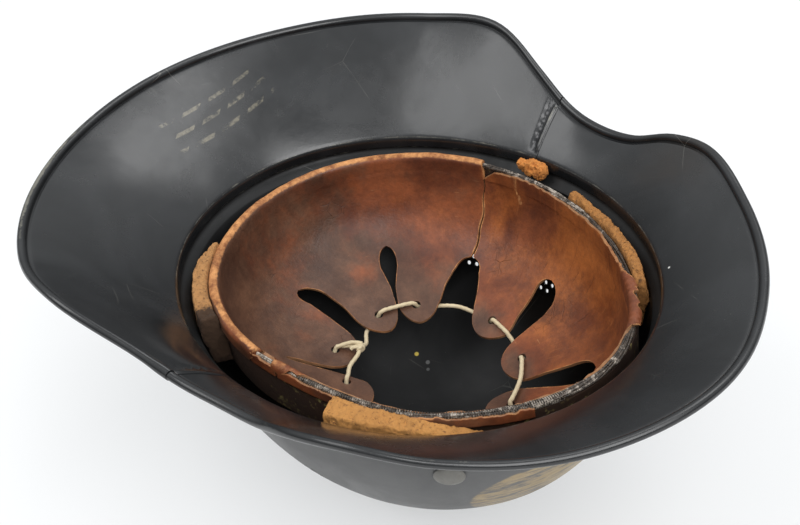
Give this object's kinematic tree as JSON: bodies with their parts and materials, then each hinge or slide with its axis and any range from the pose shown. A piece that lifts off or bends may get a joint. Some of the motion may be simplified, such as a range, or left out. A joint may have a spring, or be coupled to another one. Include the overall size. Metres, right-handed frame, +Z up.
{
  "type": "firefighter helmet",
  "caption": "Pressed-steel firefighter helmet with a front visor and long rear neck guard, and a leather head band and laced leather crown inside; it lies on its crown, open side up.",
  "frame": {"origin": "centre of the crown's flat spot, which the upturned helmet rests on", "axes": "+X towards the visor (the wearer's front), +Y towards the wearer's right, +Z up out of the open side"},
  "size_m": [0.329, 0.2582, 0.1496],
  "materials": {
    "dome_paint": "semi-gloss black paint, worn",
    "shell_paint": "semi-gloss black paint, worn",
    "leather": "old brown leather, cracked",
    "fibre": "dark pressed fibre",
    "core": "dark ribbed cord",
    "lace": "cream round cord",
    "felt": "tan crumbling felt",
    "pin_metal": "dull darkened steel"
  },
  "bodies": {
    "helmet": {"crown_shell": "dome_paint", "front_visor": "shell_paint", "rear_neck_guard": "shell_paint", "liner_hoop": "fibre", "sweatband": "leather", "hem_core": "core", "pad_front_left": "felt", "pad_front_right": "felt", "pad_rear_left": "felt", "pad_remnant_right": "felt", "liner_pin_front_left": "pin_metal", "liner_pin_front_right": "pin_metal", "liner_pin_rear": "pin_metal", "liner_washer_front_left": "pin_metal", "liner_washer_front_right": "pin_metal", "liner_washer_rear": "pin_metal"},
    "liner_crown": {"liner_tongue_1": "leather", "liner_tongue_2": "leather", "liner_tongue_3": "leather", "liner_tongue_4": "leather", "liner_tongue_5": "leather", "liner_tongue_6": "leather", "liner_tongue_7": "leather", "liner_tongue_8": "leather", "crown_lace": "lace"}
  },
  "joints": [
    {"name": "crown_sag", "type": "slide", "parent": "helmet", "child": "liner_crown", "axis": [0, 0, -1], "range_m": [0, 0.01], "stiffness_N_per_m": 1500}
  ]
}
